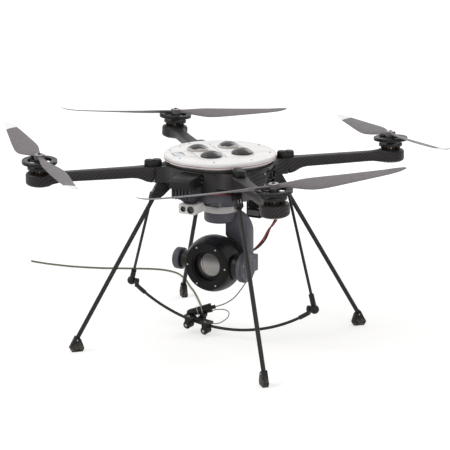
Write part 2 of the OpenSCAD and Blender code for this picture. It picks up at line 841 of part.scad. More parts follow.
module tilt_housing() color(SLATE)
    difference() {
        union() {
            on_tilt() translate([0, 0, housing_in]) cylinder(h = housing_out - housing_in - 6, r = housing_r);
            on_tilt()
                rotate([0, 0, 22.5])
                    translate([0, 0, housing_in + 4])
                        cylinder(h = housing_out - housing_in - 4, r = housing_r - 1, $fn = 8);
            translate([housing_in, yoke_front - 14, yoke_lug_z]) cube([9, 33, 36]);
        }
        on_tilt() translate([0, 0, housing_in - eps]) cylinder(h = 11, r = tilt_shaft_r + run_gap);
    }

module camera_ball() color(BLACK)
    difference() {
        union() {
            difference() {
                translate([0, -ball_ahead, ball_z]) sphere(r = ball_r, $fn = 96);
                on_lens() translate([0, 0, ball_cut]) cylinder(h = ball_r, r = 2 * ball_r);
            }
            on_tilt() cylinder(h = housing_in - free_gap, r = ball_neck_r);
            on_tilt() cylinder(h = housing_in + 9, r = tilt_shaft_r);
            on_tilt() translate([0, 0, -cap_in]) cylinder(h = cap_in, r = cap_neck_r);
        }
        on_lens() translate([0, 0, bore_end]) cylinder(h = ball_r, r = bore_r);
        on_lens() translate([0, 0, lens_seat]) cylinder(h = ball_r, r = lens_d / 2 + fix_gap);
    }

module lens_bezel() color("#2a2730")
    on_lens()
        translate([0, 0, ball_cut])
            difference() {
                cylinder(h = bezel_t, r1 = bezel_r + 2, r2 = bezel_r);
                translate([0, 0, -eps]) cylinder(h = bezel_t + 2 * eps, r = bore_r + 1.5);
            }

module lens() color("#8a8a88")
    on_lens()
        translate([0, 0, lens_seat])
            rotate_extrude()
                intersection() {
                    translate([0, lens_t - lens_curve]) circle(r = lens_curve);
                    square([lens_d / 2, 2 * lens_t]);
                }

module bezel_screws() color(METAL)
    for (a = [0 : 60 : 300])
        on_lens()
            rotate([0, 0, a]) translate([bezel_screw_at, 0, ball_cut + bezel_t]) cylinder(h = 1, r = 1.9);

module tilt_cap() color(SLATE)
    on_tilt()
        translate([0, 0, -cap_in - cap_l])
            rotate_extrude()
                polygon([[0, 0], [cap_r - 2.5, 0], [cap_r, 2.5], [cap_r, cap_l], [0, cap_l]]);

// Tether bow and trolley

module bow_arc(r, from, to)
    translate([0, 0, bow_centre_z])
        rotate([90, 0, 0])
            rotate([0, 0, -90 + from])
                rotate_extrude(angle = to - from, $fn = 180) translate([bow_r, 0]) circle(r = r, $fn = 24);

module bow_rod() color(CARBON) {
    reach = asin(bow_eye_out / (bow_r + bow_sleeve_r));
    sleeve = asin(bow_sleeve_x / bow_r);
    difference() {
        union() {
            bow_arc(bow_d / 2, -reach, reach);
            bow_arc(bow_sleeve_r, sleeve, reach);
            bow_arc(bow_sleeve_r, -reach, -sleeve);
            for (s = [-1, 1])
                translate([s * (bow_eye_out - bow_eye_w / 2), 0, knuckle_z]) {
                    rotate([0, 90, 0]) cylinder(h = bow_eye_w, r = bow_eye_r, center = true);
                    translate([0, 0, -7.5]) cube([bow_eye_w, 9.6, 10], center = true);
                }
        }
        for (s = [-1, 1])
            translate([s * bow_eye_out, 0, knuckle_z])
                rotate([0, 90, 0]) cylinder(h = 4 * bow_eye_w, r = bow_pin_r + run_gap, center = true);
    }
}

// Plate over a roller, of thickness h
module trolley_plate(h)
    translate([0, -2, plate_low]) linear_extrude(h)
        hull() {
            for (x = [-4, 4])
                translate([x, -6]) circle(r = 8);
            for (x = [-8, 8])
                translate([x, 10.4]) circle(r = 4);
        }

module trolley_frame() color(BLACK) {
    for (s = [-1, 1])
        on_bow(trolley_at + s * block_angle) {
            trolley_plate(plate_h);
            for (t = [-1, 1])
                translate([0, t * 11.2, 0]) rotate([90, 0, 0])
                    linear_extrude(2.4, center = true)
                        hull() {
                            translate([0, -roller_drop]) circle(r = 4.6);
                            translate([-6, plate_low]) square([12, eps]);
                        }
            translate([0, 0, -roller_drop]) rotate([90, 0, 0])
                cylinder(h = 27, r = roller_axle_r, center = true);
        }
    on_bow(trolley_at) {
        translate([-24, -4, plate_low + eps]) cube([48, 8, plate_h - eps]);
        translate([-7, 2, plate_low]) cube([14, 22, plate_h]);
    }
}

module tether_clamp() color(BLACK) {
    way = unit(clamp_b - clamp_a);
    body = norm(clamp_b - clamp_a);
    exit_way = unit(tether_route[1] - tether_route[0]);
    difference() {
        union() {
            translate(clamp_a)
                rotate([0, acos(way[2]), atan2(way[1], way[0])]) {
                    cylinder(h = body, r1 = 8, r2 = 10.5);
                    sphere(r = 7.6);
                    translate([0, 0, body]) cylinder(h = 9, r = 4.5);
                }
            on_bow(trolley_at) translate([-6, 14, plate_low + plate_h]) cube([12, 15, 8]);
        }
        rod(tether_route[0] - 2 * exit_way, tether_route[0] + 30 * exit_way, tether_d / 2 + 0.9);
        for (s = [-1, 1])
            on_bow(trolley_at + s * block_angle)
                translate([0, 0, -plate_low]) trolley_plate(plate_low + plate_h + fix_gap);
    }
}

module roller(s) color(BLACK)
    on_bow(trolley_at + s * block_angle)
        translate([0, 0, -roller_drop])
            rotate([90, 0, 0])
                difference() {
                    rotate_extrude()
                        polygon([[0, -roller_half_w], [roller_flange_r, -roller_half_w],
                                 [roller_flange_r, -5.2], [roller_r, -4.2], [roller_r, 4.2],
                                 [roller_flange_r, 5.2], [roller_flange_r, roller_half_w],
                                 [0, roller_half_w]]);
                    cylinder(h = 40, r = roller_axle_r + run_gap, center = true);
                }

// Cords

module power_lead() color(RED) cord(power_lead_route, power_lead_d, 4, [0, 1, 0.2]);

module tether_lead() color(GREY) cord(tether_lead_route, tether_lead_d, 6, [1, -1, 0]);

module trolley_loop() color(GREY) cord(trolley_loop_route, trolley_loop_d, 3, [0, 0, 1]);

module tether_line() color("#7d7866") cord(tether_route, tether_d, 4, [0, 0, 1]);

chassis();
top_cover();
cover_seal();
display_window();
antenna_domes();
lower_hull();
hull_seal();
flight_board();
battery_pack();
front_module();
power_module();
cable_loom();
rangefinder_housing();
rangefinder_lenses();
leg_brackets();
legs();
feet();
bow_struts();
strut_knuckles();
frame_screws();
gimbal_plate();
vibration_dampers();
hinge_pins();
power_lead();
tether_lead();
arm(0);  // arm_front_left
arm(1);  // arm_front_right
arm(2);  // arm_rear_left
arm(3);  // arm_rear_right
stator(0);  // stator_front_left
stator(1);  // stator_front_right
stator(2);  // stator_rear_left
stator(3);  // stator_rear_right
latch(0);  // latch_front_left
latch(1);  // latch_front_right
latch(2);  // latch_rear_left
latch(3);  // latch_rear_right
bell(0);  // bell_front_left
bell(1);  // bell_front_right
bell(2);  // bell_rear_left
bell(3);  // bell_rear_right
prop(0);  // prop_front_left
prop(1);  // prop_front_right
prop(2);  // prop_rear_left
prop(3);  // prop_rear_right
gimbal_yoke();
tilt_housing();
camera_ball();
lens_bezel();
lens();
bezel_screws();
tilt_cap();
bow_rod();
trolley_frame();
tether_clamp();
roller(1);  // roller_left
roller(-1);  // roller_right
trolley_loop();
tether_line();
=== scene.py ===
"""Looks of the tethered quadcopter: finishes on the CAD nodes, cords along their routes and small trim."""

import json
import math

import bmesh
import bpy
from mathutils import Matrix, Vector


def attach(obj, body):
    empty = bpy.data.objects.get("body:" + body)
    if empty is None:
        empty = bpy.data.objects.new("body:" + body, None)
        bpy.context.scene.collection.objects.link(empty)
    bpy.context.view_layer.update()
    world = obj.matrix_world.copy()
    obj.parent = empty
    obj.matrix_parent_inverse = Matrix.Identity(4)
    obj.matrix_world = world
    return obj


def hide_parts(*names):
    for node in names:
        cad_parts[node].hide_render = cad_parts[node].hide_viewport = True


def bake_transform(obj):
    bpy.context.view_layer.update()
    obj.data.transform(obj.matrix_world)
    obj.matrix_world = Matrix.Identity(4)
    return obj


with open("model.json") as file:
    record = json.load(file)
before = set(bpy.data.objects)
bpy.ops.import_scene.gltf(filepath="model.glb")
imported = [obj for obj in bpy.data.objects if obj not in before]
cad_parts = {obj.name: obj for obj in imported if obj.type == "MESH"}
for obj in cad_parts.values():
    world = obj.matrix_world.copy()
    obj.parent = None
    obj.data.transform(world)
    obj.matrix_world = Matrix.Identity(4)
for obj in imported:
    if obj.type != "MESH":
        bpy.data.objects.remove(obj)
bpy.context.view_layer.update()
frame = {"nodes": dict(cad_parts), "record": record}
NODES = frame["nodes"]
MM = 0.001

# Places repeated from the part's source, in millimetres and degrees

# Azimuth of each arm, and the side to which its motor leans
ARMS = {"front_left": (315, 1), "front_right": (225, -1), "rear_left": (45, -1), "rear_right": (135, 1)}
MOTOR_R = 392
POD_MID = 389
ROTOR_CANT = 3
COVER_TOP = 421
DOME_R = 51
DOME_TURN = 8
BOW_R = 378
BOW_CENTRE_Z = 400
TROLLEY_AT = 8.8
BLOCK_ANGLE = 3.3
BALL_AHEAD = 28
BALL_Z = 179
FOOT_R = 339

POWER_LEAD_ROUTE = [
    (66.5, 88, 282), (73, 88, 282), (81, 91.5, 278.5), (84, 101, 269), (79, 111, 256), (69, 117.5, 242),
    (57, 121, 227), (44, 122, 202), (26, 122, 181), (6, 122, 168), (-14, 122, 173), (-27, 121, 195),
    (-33, 117, 230), (-34, 110, 270), (-32.5, 102, 302), (-32, 97, 317), (-32, 96, 325),
    (-32, 96, 332.6),
]
TETHER_LEAD_ROUTE = [
    (-37.4, 45, 54.04), (-30.8, 49.3, 55.9), (-19, 57, 61), (-5, 70, 72), (4, 90, 90), (10, 108, 110),
    (10, 123, 135), (2, 132, 166), (-12, 136, 202), (-20, 132, 242), (-18, 120, 282), (-8, 105, 318),
    (-5, 100, 333),
]
TROLLEY_LOOP_ROUTE = [
    (-43.5, 41, 44.75), (-37, 45.2, 46.5), (-27, 48, 48), (-14, 48, 48.5), (-3, 43, 45.5), (0, 33, 38),
    (-5, 19, 31.5), (-11, 8, 29), (-18, 3, 28.6), (-23.3, 3, 28.55),
]
TETHER_ROUTE = [
    (-70, 33, 47), (-76, 44, 47.5), (-84, 58, 44), (-97, 82, 34), (-113, 112, 19), (-132, 146, 7),
    (-154, 180, 2.5), (-214, 257, 2.5), (-251, 298, 2.5), (-294, 347, 2.5), (-335, 381, 2.5),
    (-372, 391, 2.5), (-405, 387, 2.5), (-440, 373, 2.5), (-486, 351, 2.5), (-531, 330, 2.5),
    (-599, 309, 2.5), (-654, 301, 2.5), (-687, 299, 2.5), (-720, 300, 2.5),
]

# Camera, solved from the photograph, with distances in metres

VIEW_AZIMUTH = math.radians(29.28)
VIEW_ELEVATION = math.radians(15.66)
VIEW_ROLL = math.radians(-0.26)
VIEW_DISTANCE = 3.8416
VIEW_TARGET = Vector((0, 0, 0.2))
VIEW_REACH = 60
FOCAL_PX = 1759.9
CENTRE_PX = (220.33, 250.51)
IMAGE_PX = 450
SENSOR_MM = 36


def make_camera():
    """Camera of the photograph, with its optical centre off the middle of the picture."""
    back = Vector((
        math.sin(VIEW_AZIMUTH) * math.cos(VIEW_ELEVATION),
        -math.cos(VIEW_AZIMUTH) * math.cos(VIEW_ELEVATION),
        math.sin(VIEW_ELEVATION),
    ))
    level = Vector((math.cos(VIEW_AZIMUTH), math.sin(VIEW_AZIMUTH), 0))
    rise = back.cross(level)
    right = level * math.cos(VIEW_ROLL) + rise * math.sin(VIEW_ROLL)
    up = back.cross(right)
    lens = bpy.data.cameras.new("camera")
    lens.sensor_width = SENSOR_MM
    lens.lens = SENSOR_MM * FOCAL_PX / IMAGE_PX
    lens.shift_x = (IMAGE_PX / 2 - CENTRE_PX[0]) / IMAGE_PX
    lens.shift_y = (CENTRE_PX[1] - IMAGE_PX / 2) / IMAGE_PX
    lens.clip_end = VIEW_REACH
    camera = bpy.data.objects.new("camera", lens)
    place = Matrix((right, up, back)).transposed().to_4x4()
    place.translation = VIEW_TARGET + back * VIEW_DISTANCE
    camera.matrix_world = place
    bpy.context.scene.collection.objects.link(camera)
    bpy.context.scene.camera = camera


make_camera()

# Mesh helpers

EDGE_ANGLE = math.radians(35)
EDGE_SEGMENTS = 2
WELD_GAP = 0.02


def point(p):
    """Place in metres of a point in millimetres."""
    return Vector(p) * MM


def new_object(name, mesh, material):
    """Object of a mesh, with one material, in the scene."""
    made = bpy.data.objects.new(name, mesh)
    bpy.context.scene.collection.objects.link(made)
    made.data.materials.append(material)
    return made


def from_bmesh(name, bm, material):
    """Object of a finished bmesh, with its faces turned outwards."""
    bmesh.ops.recalc_face_normals(bm, faces=bm.faces)
    mesh = bpy.data.meshes.new(name)
    bm.to_mesh(mesh)
    bm.free()
    return new_object(name, mesh, material)


def round_edges(obj, width, weld=False):
    """Smooth shading, with a small rounded edge wherever two faces meet at more than EDGE_ANGLE."""
    obj.data.polygons.foreach_set("use_smooth", [True] * len(obj.data.polygons))
    if weld:
        joined = obj.modifiers.new("join", "WELD")
        joined.merge_threshold = WELD_GAP * MM
    bevel = obj.modifiers.new("edge", "BEVEL")
    bevel.width = width * MM
    bevel.segments = EDGE_SEGMENTS
    bevel.limit_method = "ANGLE"
    bevel.angle_limit = EDGE_ANGLE
    bevel.use_clamp_overlap = True
    bevel.harden_normals = True


def smooth_route(route, steps):
    """Points in metres on the smooth curve through a route, as the part's source makes it."""
    knots = [Vector(q) for q in route]
    last = len(knots) - 1
    curve = []
    for i in range(last):
        a, b, c, d = knots[max(i - 1, 0)], knots[i], knots[i + 1], knots[min(i + 2, last)]
        for s in range(steps):
            t = s / steps
            straight = 2 * b + (c - a) * t
            bend = (2 * a - 5 * b + 4 * c - d) * t * t
            sway = (3 * b - a - 3 * c + d) * t * t * t
            curve.append(0.5 * (straight + bend + sway) * MM)
    curve.append(knots[-1] * MM)
    return curve


def frames_along(path):
    """(side, up) at each point of a path, turning as little as possible from one to the next."""
    last = len(path) - 1
    tangents = []
    for i in range(len(path)):
        tangents.append((path[min(i + 1, last)] - path[max(i - 1, 0)]).normalized())
    side = tangents[0].orthogonal().normalized()
    frames = []
    for tangent in tangents:
        side = (side - tangent * side.dot(tangent)).normalized()
        frames.append((side, tangent.cross(side)))
    return frames


def tube(name, path, radius, material, sides=12):
    """Round tube of a radius in mm along a path, with a map of the share round it and metres along it."""
    bm = bmesh.new()
    layer = bm.loops.layers.uv.new("along")
    run = [0.0]
    for a, b in zip(path, path[1:]):
        run.append(run[-1] + (b - a).length)
    angles = [2 * math.pi * k / sides for k in range(sides)]
    rings = []
    for p, (side, up) in zip(path, frames_along(path)):
        ring = [p + radius * MM * (math.cos(a) * side + math.sin(a) * up) for a in angles]
        rings.append([bm.verts.new(corner) for corner in ring])
    for i in range(len(rings) - 1):
        for k in range(sides):
            n = (k + 1) % sides
            face = bm.faces.new((rings[i][k], rings[i][n], rings[i + 1][n], rings[i + 1][k]))
            face.smooth = True
            corners = ((k, i), (k + 1, i), (k + 1, i + 1), (k, i + 1))
            for loop, (share, at) in zip(face.loops, corners):
                loop[layer].uv = (share / sides, run[at])
    bm.faces.new(list(reversed(rings[0])))
    bm.faces.new(rings[-1])
    return from_bmesh(name, bm, material)


def lathe(bm, profile, place, sides):
    """Solid turned about the local Z axis of place, from a profile of (radius, height) in mm."""
    rings = []
    for r, z in profile:
        if r == 0:
            rings.append([bm.verts.new(place @ Vector((0, 0, z * MM)))])
        else:
            rings.append([
                bm.verts.new(place @ Vector((r * MM * math.cos(a), r * MM * math.sin(a), z * MM)))
                for a in (2 * math.pi * k / sides for k in range(sides))
            ])
    for low, high in zip(rings, rings[1:]):
        for k in range(sides):
            n = (k + 1) % sides
            corners = [low[k % len(low)], low[n % len(low)], high[n % len(high)], high[k % len(high)]]
            unique = list(dict.fromkeys(corners))
            if len(unique) > 2:
                bm.faces.new(unique)


def prism(bm, outline, low, high, place):
    """Straight solid over an outline in the local XY plane of place, all in mm."""
    ends = []
    for z in (low, high):
        ends.append([bm.verts.new(place @ Vector((x * MM, y * MM, z * MM))) for x, y in outline])
    bm.faces.new(list(reversed(ends[0])))
    bm.faces.new(ends[1])
    for k in range(len(outline)):
        n = (k + 1) % len(outline)
        bm.faces.new((ends[0][k], ends[0][n], ends[1][n], ends[1][k]))


def box(bm, low, high, place=Matrix()):
    """Box between two corners in mm, along the axes of place."""
    outline = [(low[0], low[1]), (high[0], low[1]), (high[0], high[1]), (low[0], high[1])]
    prism(bm, outline, low[2], high[2], place)


def regular(sides, radius):
    """Outline of a regular polygon, by the radius of its corners."""
    angles = [2 * math.pi * k / sides for k in range(sides)]
    return [(radius * math.cos(a), radius * math.sin(a)) for a in angles]


def facing(at, way):
    """Place whose local Z axis points along way, at a point in mm."""
    return Matrix.Translation(point(at)) @ Vector(way).to_track_quat("Z", "Y").to_matrix().to_4x4()


# AXIS_X takes an outline in (y, z) and pushes it along +X; AXIS_Y takes one in (x, z) along +Y
AXIS_X = Matrix(((0, 0, 1, 0), (1, 0, 0, 0), (0, 1, 0, 0), (0, 0, 0, 1)))
AXIS_Y = Matrix(((1, 0, 0, 0), (0, 0, 1, 0), (0, 1, 0, 0), (0, 0, 0, 1)))


def turned(degrees):
    """Place turned about the vertical axis."""
    return Matrix.Rotation(math.radians(degrees), 4, "Z")


def motor_place(azimuth, hand):
    """Frame of a leaning motor, with heights above the ground along its own axis."""
    lean = Matrix.Rotation(math.radians(hand * ROTOR_CANT), 4, "X")
    mid = Matrix.Translation(point((MOTOR_R, 0, POD_MID)))
    return turned(azimuth) @ mid @ lean @ Matrix.Translation(point((0, 0, -POD_MID)))


def bow_place(angle):
    """Frame of a place on the bow, with the origin on the tube's centre line."""
    turn = Matrix.Rotation(math.radians(angle), 4, "Y")
    return Matrix.Translation(point((0, 0, BOW_CENTRE_Z))) @ turn @ Matrix.Translation(point((0, 0, -BOW_R)))


# Materials: noise scales are in cells per metre, and depths in millimetres

NOISE_ROUGHNESS = 0.55
NOISE_SPREAD = (0.25, 0.75)


def rgb(code):
    """Linear colour of a six-digit hex code."""
    parts = [int(code[k:k + 2], 16) / 255 for k in (0, 2, 4)]
    return tuple(c / 12.92 if c <= 0.04045 else ((c + 0.055) / 1.055) ** 2.4 for c in parts) + (1,)


class Nodes:
    """A node tree that is built node by node."""

    def __init__(self, tree):
        self.tree = tree

    def node(self, kind, **inputs):
        """New node. An input is named, with _ for a space, or numbered as i0, i1 and so on."""
        made = self.tree.nodes.new("ShaderNode" + kind)
        for key, value in inputs.items():
            number = key[1:]
            numbered = key[0] == "i" and number.isdigit()
            self.put(made.inputs[int(number) if numbered else key.replace("_", " ")], value)
        return made

    def put(self, socket, value):
        """Sets a socket to a value, or links another node's output to it."""
        if isinstance(value, bpy.types.NodeSocket):
            self.tree.links.new(value, socket)
        else:
            socket.default_value = value

    def math(self, operation, a, b=0.0):
        made = self.node("Math", i0=a, i1=b)
        made.operation = operation
        return made.outputs[0]

    def distance(self, a, b):
        """Length of the flat vector (a, b)."""
        squares = self.math("ADD", self.math("MULTIPLY", a, a), self.math("MULTIPLY", b, b))
        return self.math("SQRT", squares)

    def split(self, vector):
        made = self.node("SeparateXYZ", Vector=vector)
        return made.outputs[0], made.outputs[1], made.outputs[2]

    def background_rays(self):
        """1 where the background is seen, straight or in metal and glass, and 0 for its light."""
        rays = self.node("LightPath").outputs
        bounced = self.math("MAXIMUM", rays["Is Glossy Ray"], rays["Is Transmission Ray"])
        return self.math("MAXIMUM", rays["Is Camera Ray"], bounced)


class Finish(Nodes):
    """A Principled material."""

    def __init__(self, name, **sockets):
        self.material = bpy.data.materials.new(name)
        self.material.use_nodes = True
        super().__init__(self.material.node_tree)
        self.shader = self.tree.nodes["Principled BSDF"]
        for socket, value in sockets.items():
            self.shader.inputs[socket.replace("_", " ")].default_value = value

    def where(self):
        """Place in the row frame, in metres."""
        return self.node("TexCoord").outputs["Object"]

    def noise(self, scale, detail):
        made = self.node("TexNoise", Vector=self.where(), Scale=scale, Detail=detail)
        self.put(made.inputs["Roughness"], NOISE_ROUGHNESS)
        return made.outputs["Fac"]

    def ramp(self, value, low, high):
        """value mapped so that low gives 0 and high gives 1, held at the ends."""
        return self.node("MapRange", Value=value, From_Min=low, From_Max=high).outputs[0]

    def span(self, share, low, high):
        """A noise share spread over a range of values."""
        least, most = NOISE_SPREAD
        made = self.node("MapRange", Value=share, From_Min=least, From_Max=most, To_Min=low, To_Max=high)
        return made.outputs[0]

    def mix(self, share, a, b):
        """Colour between a and b. The Mix node's colours are its inputs 6 and 7 and its output 2."""
        made = self.node("Mix", i0=share)
        made.data_type = "RGBA"
        self.put(made.inputs[6], a)
        self.put(made.inputs[7], b)
        return made.outputs[2]

    def colour(self, value):
        self.put(self.shader.inputs["Base Color"], value)

    def painted(self):
        """The colour that has been laid so far."""
        return self.shader.inputs["Base Color"].links[0].from_socket

    def rough(self, value):
        self.put(self.shader.inputs["Roughness"], value)

    def bump(self, height, strength, depth):
        made = self.node("Bump", Strength=strength, Distance=depth * MM, Height=height)
        self.put(self.shader.inputs["Normal"], made.outputs[0])


def moulded(name, code, other, rough=(0.4, 0.55), grain=900, depth=0.03, **sockets):
    """Moulded or painted shell: slow shade drift, fine grain and uneven gloss."""
    f = Finish(name, **sockets)
    f.colour(f.mix(f.ramp(f.noise(scale=24, detail=4), low=0.3, high=0.72), rgb(code), rgb(other)))
    f.rough(f.span(f.noise(scale=60, detail=5), *rough))
    f.bump(f.noise(scale=grain, detail=2), strength=0.35, depth=depth)
    return f


DUST_COVER = 0.55


def dusty(f, code, low_mm, high_mm):
    """Adds pale dust that thins out with height."""
    _, _, z = f.split(f.where())
    height = f.ramp(z, high_mm * MM, low_mm * MM)
    patches = f.ramp(f.noise(scale=130, detail=5), low=0.38, high=0.62)
    share = f.math("MULTIPLY", f.math("MULTIPLY", height, patches), DUST_COVER)
    f.colour(f.mix(share, f.painted(), rgb(code)))
    return f


# A radius that takes in all of the hub
WHOLE_HUB = 400


def banded(f, code, other, top_mm, reach_mm=WHOLE_HUB, seam_code=None, seam_mm=0.0):
    """Adds a painted lower band inside a radius, with a thin seam along its top edge where one is given."""
    x, y, z = f.split(f.where())
    near = f.math("LESS_THAN", f.distance(x, y), reach_mm * MM)
    base = f.painted()
    if seam_code:
        below_seam = f.math("LESS_THAN", z, (top_mm + seam_mm) * MM)
        base = f.mix(f.math("MULTIPLY", near, below_seam), base, rgb(seam_code))
    tone = f.mix(f.noise(scale=24, detail=4), rgb(code), rgb(other))
    below = f.math("LESS_THAN", z, top_mm * MM)
    f.colour(f.mix(f.math("MULTIPLY", near, below), base, tone))
    return f


# Heading of the weave, in degrees, which lays the twill slantwise on the arms and on the hub
WEAVE_TURN = 35
TOW_WIDTH = 2.2
TWILL_REPEAT = 4.0
TWILL_OVER = 2.0
# How far the weave's direction and a slow drift set the tone, and the light on the crown of a tow
WARP_SHARE = 0.7
DRIFT_SHARE = 0.3
CROWN_LIGHT = 1.15


def woven(name, dark, light):
    """Woven carbon: 2 by 2 twill of tows, seen through a satin resin."""
    f = Finish(name, Specular_IOR_Level=0.24)
    rotated = f.node("VectorRotate", Vector=f.where(), Angle=math.radians(-WEAVE_TURN))
    x, y, z = f.split(rotated.outputs[0])
    u = f.math("DIVIDE", x, TOW_WIDTH * MM)
    v = f.math("DIVIDE", f.math("ADD", y, z), TOW_WIDTH * MM)
    step = f.math("SUBTRACT", f.math("FLOOR", u), f.math("FLOOR", v))
    warp = f.math("LESS_THAN", f.math("FLOORED_MODULO", step, TWILL_REPEAT), TWILL_OVER)
    crown_u = f.math("ABSOLUTE", f.math("SUBTRACT", f.math("FRACT", u), 0.5))
    crown_v = f.math("ABSOLUTE", f.math("SUBTRACT", f.math("FRACT", v), 0.5))
    crown = f.node("Mix", i0=warp, i2=crown_v, i3=crown_u).outputs[0]
    drift = f.noise(scale=30, detail=4)
    tone = f.math("ADD", f.math("MULTIPLY", warp, WARP_SHARE), f.math("MULTIPLY", drift, DRIFT_SHARE))
    shade = f.math("SUBTRACT", CROWN_LIGHT, crown)
    f.colour(f.mix(f.math("MULTIPLY", tone, shade), rgb(dark), rgb(light)))
    f.rough(f.span(f.noise(scale=45, detail=5), low=0.38, high=0.52))
    f.bump(f.math("SUBTRACT", 0.5, crown), strength=0.25, depth=0.06)
    return f


def brushed(name, code, other, rough=(0.25, 0.4)):
    """Bright metal with fine uneven polish."""
    f = Finish(name, Metallic=1.0)
    f.colour(f.mix(f.noise(scale=70, detail=4), rgb(code), rgb(other)))
    f.rough(f.span(f.noise(scale=500, detail=3), *rough))
    f.bump(f.noise(scale=1500, detail=2), strength=0.2, depth=0.01)
    return f


# Distance from the rotor's axis at which a painted tip starts, and how unevenly it does so
TIP_FROM = 236
TIP_FADE = 2


def blade_plastic(name, axis_mm=None):
    """Fibre-filled blade, with pale painted tips where axis_mm gives the rotor's place."""
    f = Finish(name, Specular_IOR_Level=0.4)
    fibres = f.ramp(f.noise(scale=140, detail=5), low=0.3, high=0.7)
    base = f.mix(fibres, rgb("635e61"), rgb("6f6a6d"))
    if axis_mm:
        x, y, _ = f.split(f.where())
        east = f.math("SUBTRACT", x, axis_mm[0] * MM)
        north = f.math("SUBTRACT", y, axis_mm[1] * MM)
        ragged = f.math("MULTIPLY", f.noise(scale=300, detail=3), TIP_FADE * MM)
        edge = f.math("ADD", f.distance(east, north), ragged)
        tip = f.ramp(edge, TIP_FROM * MM, (TIP_FROM + TIP_FADE) * MM)
        base = f.mix(tip, base, rgb("efeeee"))
    f.colour(base)
    f.rough(f.span(f.noise(scale=90, detail=4), low=0.42, high=0.6))
    f.bump(f.noise(scale=2200, detail=2), strength=0.3, depth=0.02)
    return f


def cord_sleeve(name, code, other, pitch_mm, strands, rough, depth):
    """Braided sleeve, laid out on the tube's own map of turn and length."""
    f = Finish(name)
    turn, along, _ = f.split(f.node("UVMap").outputs[0])
    step = f.math("DIVIDE", along, pitch_mm * MM)
    spin = f.math("MULTIPLY", turn, float(strands))
    one = f.math("SINE", f.math("MULTIPLY", f.math("ADD", spin, step), 2 * math.pi))
    two = f.math("SINE", f.math("MULTIPLY", f.math("SUBTRACT", spin, step), 2 * math.pi))
    weave = f.math("ADD", f.math("MULTIPLY", f.math("MULTIPLY", one, two), 0.5), 0.5)
    wear = f.span(f.noise(scale=160, detail=4), low=0.6, high=1.0)
    f.colour(f.mix(f.math("MULTIPLY", weave, wear), rgb(other), rgb(code)))
    f.rough(f.span(f.noise(scale=220, detail=4), *rough))
    f.bump(weave, strength=0.5, depth=depth)
    return f


# Edge of a dome's cap above the lid: where it fades in, and the waves that run round it
CAP_FADE = (5.4, 5.8)
CAP_WAVES = 5.0
CAP_WAVE_H = 0.9


def dome_skin():
    """Antenna domes: dark caps with a waving edge, on flanges with a painted reflection, dark on the front
    and right domes and pale on the left and rear ones.
    """
    f = Finish("dome", Coat_Weight=0.45, Coat_Roughness=0.1, Specular_IOR_Level=0.4)
    rotated = f.node("VectorRotate", Vector=f.where(), Angle=math.radians(-DOME_TURN))
    x, y, z = f.split(rotated.outputs[0])
    one = f.math("ABSOLUTE", x)
    two = f.math("ABSOLUTE", y)
    out = f.math("SUBTRACT", f.math("MAXIMUM", one, two), DOME_R * MM)
    angle = f.math("ARCTAN2", f.math("MINIMUM", one, two), out)
    wave = f.math("MULTIPLY", f.math("SINE", f.math("MULTIPLY", angle, CAP_WAVES)), CAP_WAVE_H * MM)
    low, high = CAP_FADE
    cap = f.ramp(f.math("ADD", z, wave), (COVER_TOP + low) * MM, (COVER_TOP + high) * MM)
    # Painted reflection: flanges of the front and right domes are dark and those of the left and rear domes
    # pale, mirroring the dark surroundings and the white lid
    front = f.math("GREATER_THAN", f.math("SUBTRACT", x, y), 0.0)
    tone = f.ramp(f.noise(scale=60, detail=4), low=0.3, high=0.7)
    black = f.mix(tone, rgb("0b0a0a"), rgb("121111"))
    pale = f.mix(tone, rgb("b9b4ae"), rgb("a8a39d"))
    dark = f.mix(tone, rgb("1a1818"), rgb("242221"))
    f.colour(f.mix(cap, f.mix(front, pale, black), dark))
    f.rough(f.span(f.noise(scale=80, detail=4), low=0.24, high=0.36))
    f.bump(f.noise(scale=700, detail=2), strength=0.2, depth=0.02)
    return f


# Depth below the lid's top at which the painted shade in the panel lines starts and is full, and the radii it
# stays inside
PANEL_SHADE_DEPTH = (0.15, 0.45)
PANEL_SHADE_R = (117, 116)


def cover_skin():
    """Pale moulded lid, with painted shade in the sunken lines between its panels."""
    f = moulded("white_shell", "f0eeed", "e8e6e4", rough=(0.3, 0.42), grain=1400, depth=0.015)
    x, y, z = f.split(f.where())
    start, full = PANEL_SHADE_DEPTH
    sunk = f.ramp(z, (COVER_TOP - start) * MM, (COVER_TOP - full) * MM)
    outer, inner = PANEL_SHADE_R
    inside = f.ramp(f.distance(x, y), outer * MM, inner * MM)
    # Painted shade: faces sunk below the lid's top, in its panel lines, turn dark grey
    f.colour(f.mix(f.math("MULTIPLY", sunk, inside), f.painted(), rgb("77726e")))
    return f


def rotor_skin():
    """Black motor metal whose upward faces have a painted sheen of lighter blue-grey."""
    f = moulded("motor_black", "0c0b0b", "141212", rough=(0.28, 0.42), Specular_IOR_Level=0.3)
    _, _, up = f.split(f.node("TexCoord").outputs["Normal"])
    # Painted sheen: a lighter blue-grey on faces that point upwards
    top_sheen = f.mix(f.noise(scale=120, detail=4), rgb("26262c"), rgb("303036"))
    f.colour(f.mix(f.ramp(up, low=0.8, high=0.95), f.painted(), top_sheen))
    return f


# The display's place out from the hub's axis, half its lit length and width, and the pitch of its bars
SCREEN_R = 92
SCREEN_HALF = (9.4, 13.4)
BAR_PITCH = 3.2


